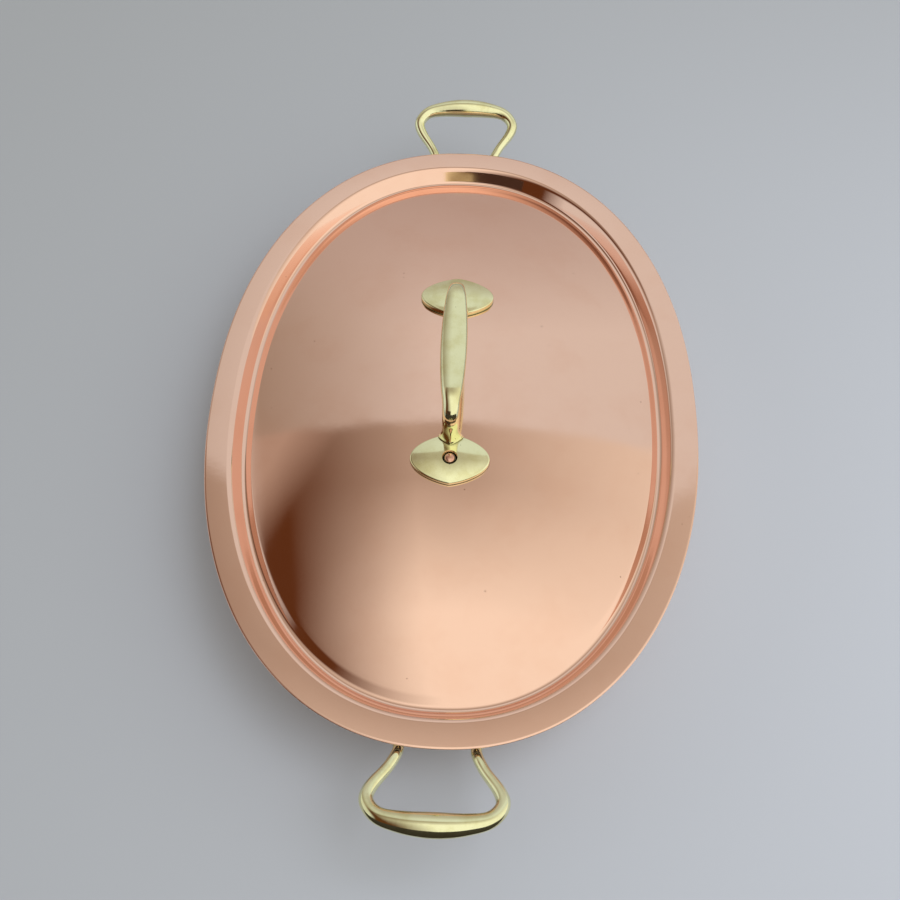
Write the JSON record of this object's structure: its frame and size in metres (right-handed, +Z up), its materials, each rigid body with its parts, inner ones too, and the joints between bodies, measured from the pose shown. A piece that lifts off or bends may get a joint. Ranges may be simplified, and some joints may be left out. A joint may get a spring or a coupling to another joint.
{
  "type": "covered oval gratin pan",
  "caption": "Oval copper gratin pan with a domed copper lid, tin linings, riveted brass end handles and a brass bridge handle; the lid lifts off.",
  "frame": {"origin": "centre of the pan's flat base, on the surface it stands on", "axes": "+Z up, the way the lid lifts off; +Y along the long axis, towards the rear handle"},
  "size_m": [0.28, 0.4776, 0.1112],
  "materials": {
    "copper": "mirror-polished copper with fine wiping scratches",
    "copper_rivet": "hammered and polished copper rivet",
    "brass": "cast brass, ground and polished",
    "tin": "wiped tin, soft satin"
  },
  "bodies": {
    "pan": {"pan_body": "copper", "pan_lining": "tin", "front_bail": "brass", "rear_bail": "brass", "front_bail_rivet_1": "copper_rivet", "front_bail_rivet_2": "copper_rivet", "front_bail_rivet_3": "copper_rivet", "front_bail_rivet_4": "copper_rivet", "rear_bail_rivet_1": "copper_rivet", "rear_bail_rivet_2": "copper_rivet", "rear_bail_rivet_3": "copper_rivet", "rear_bail_rivet_4": "copper_rivet"},
    "lid": {"lid_shell": "copper", "lid_lining": "tin", "lid_handle": "brass", "lid_rivet_front": "copper_rivet", "lid_rivet_rear": "copper_rivet"}
  },
  "joints": [
    {"name": "lid_lift", "type": "slide", "parent": "pan", "child": "lid", "axis": [0, 0, 1], "range_m": [0, 0.12]}
  ]
}
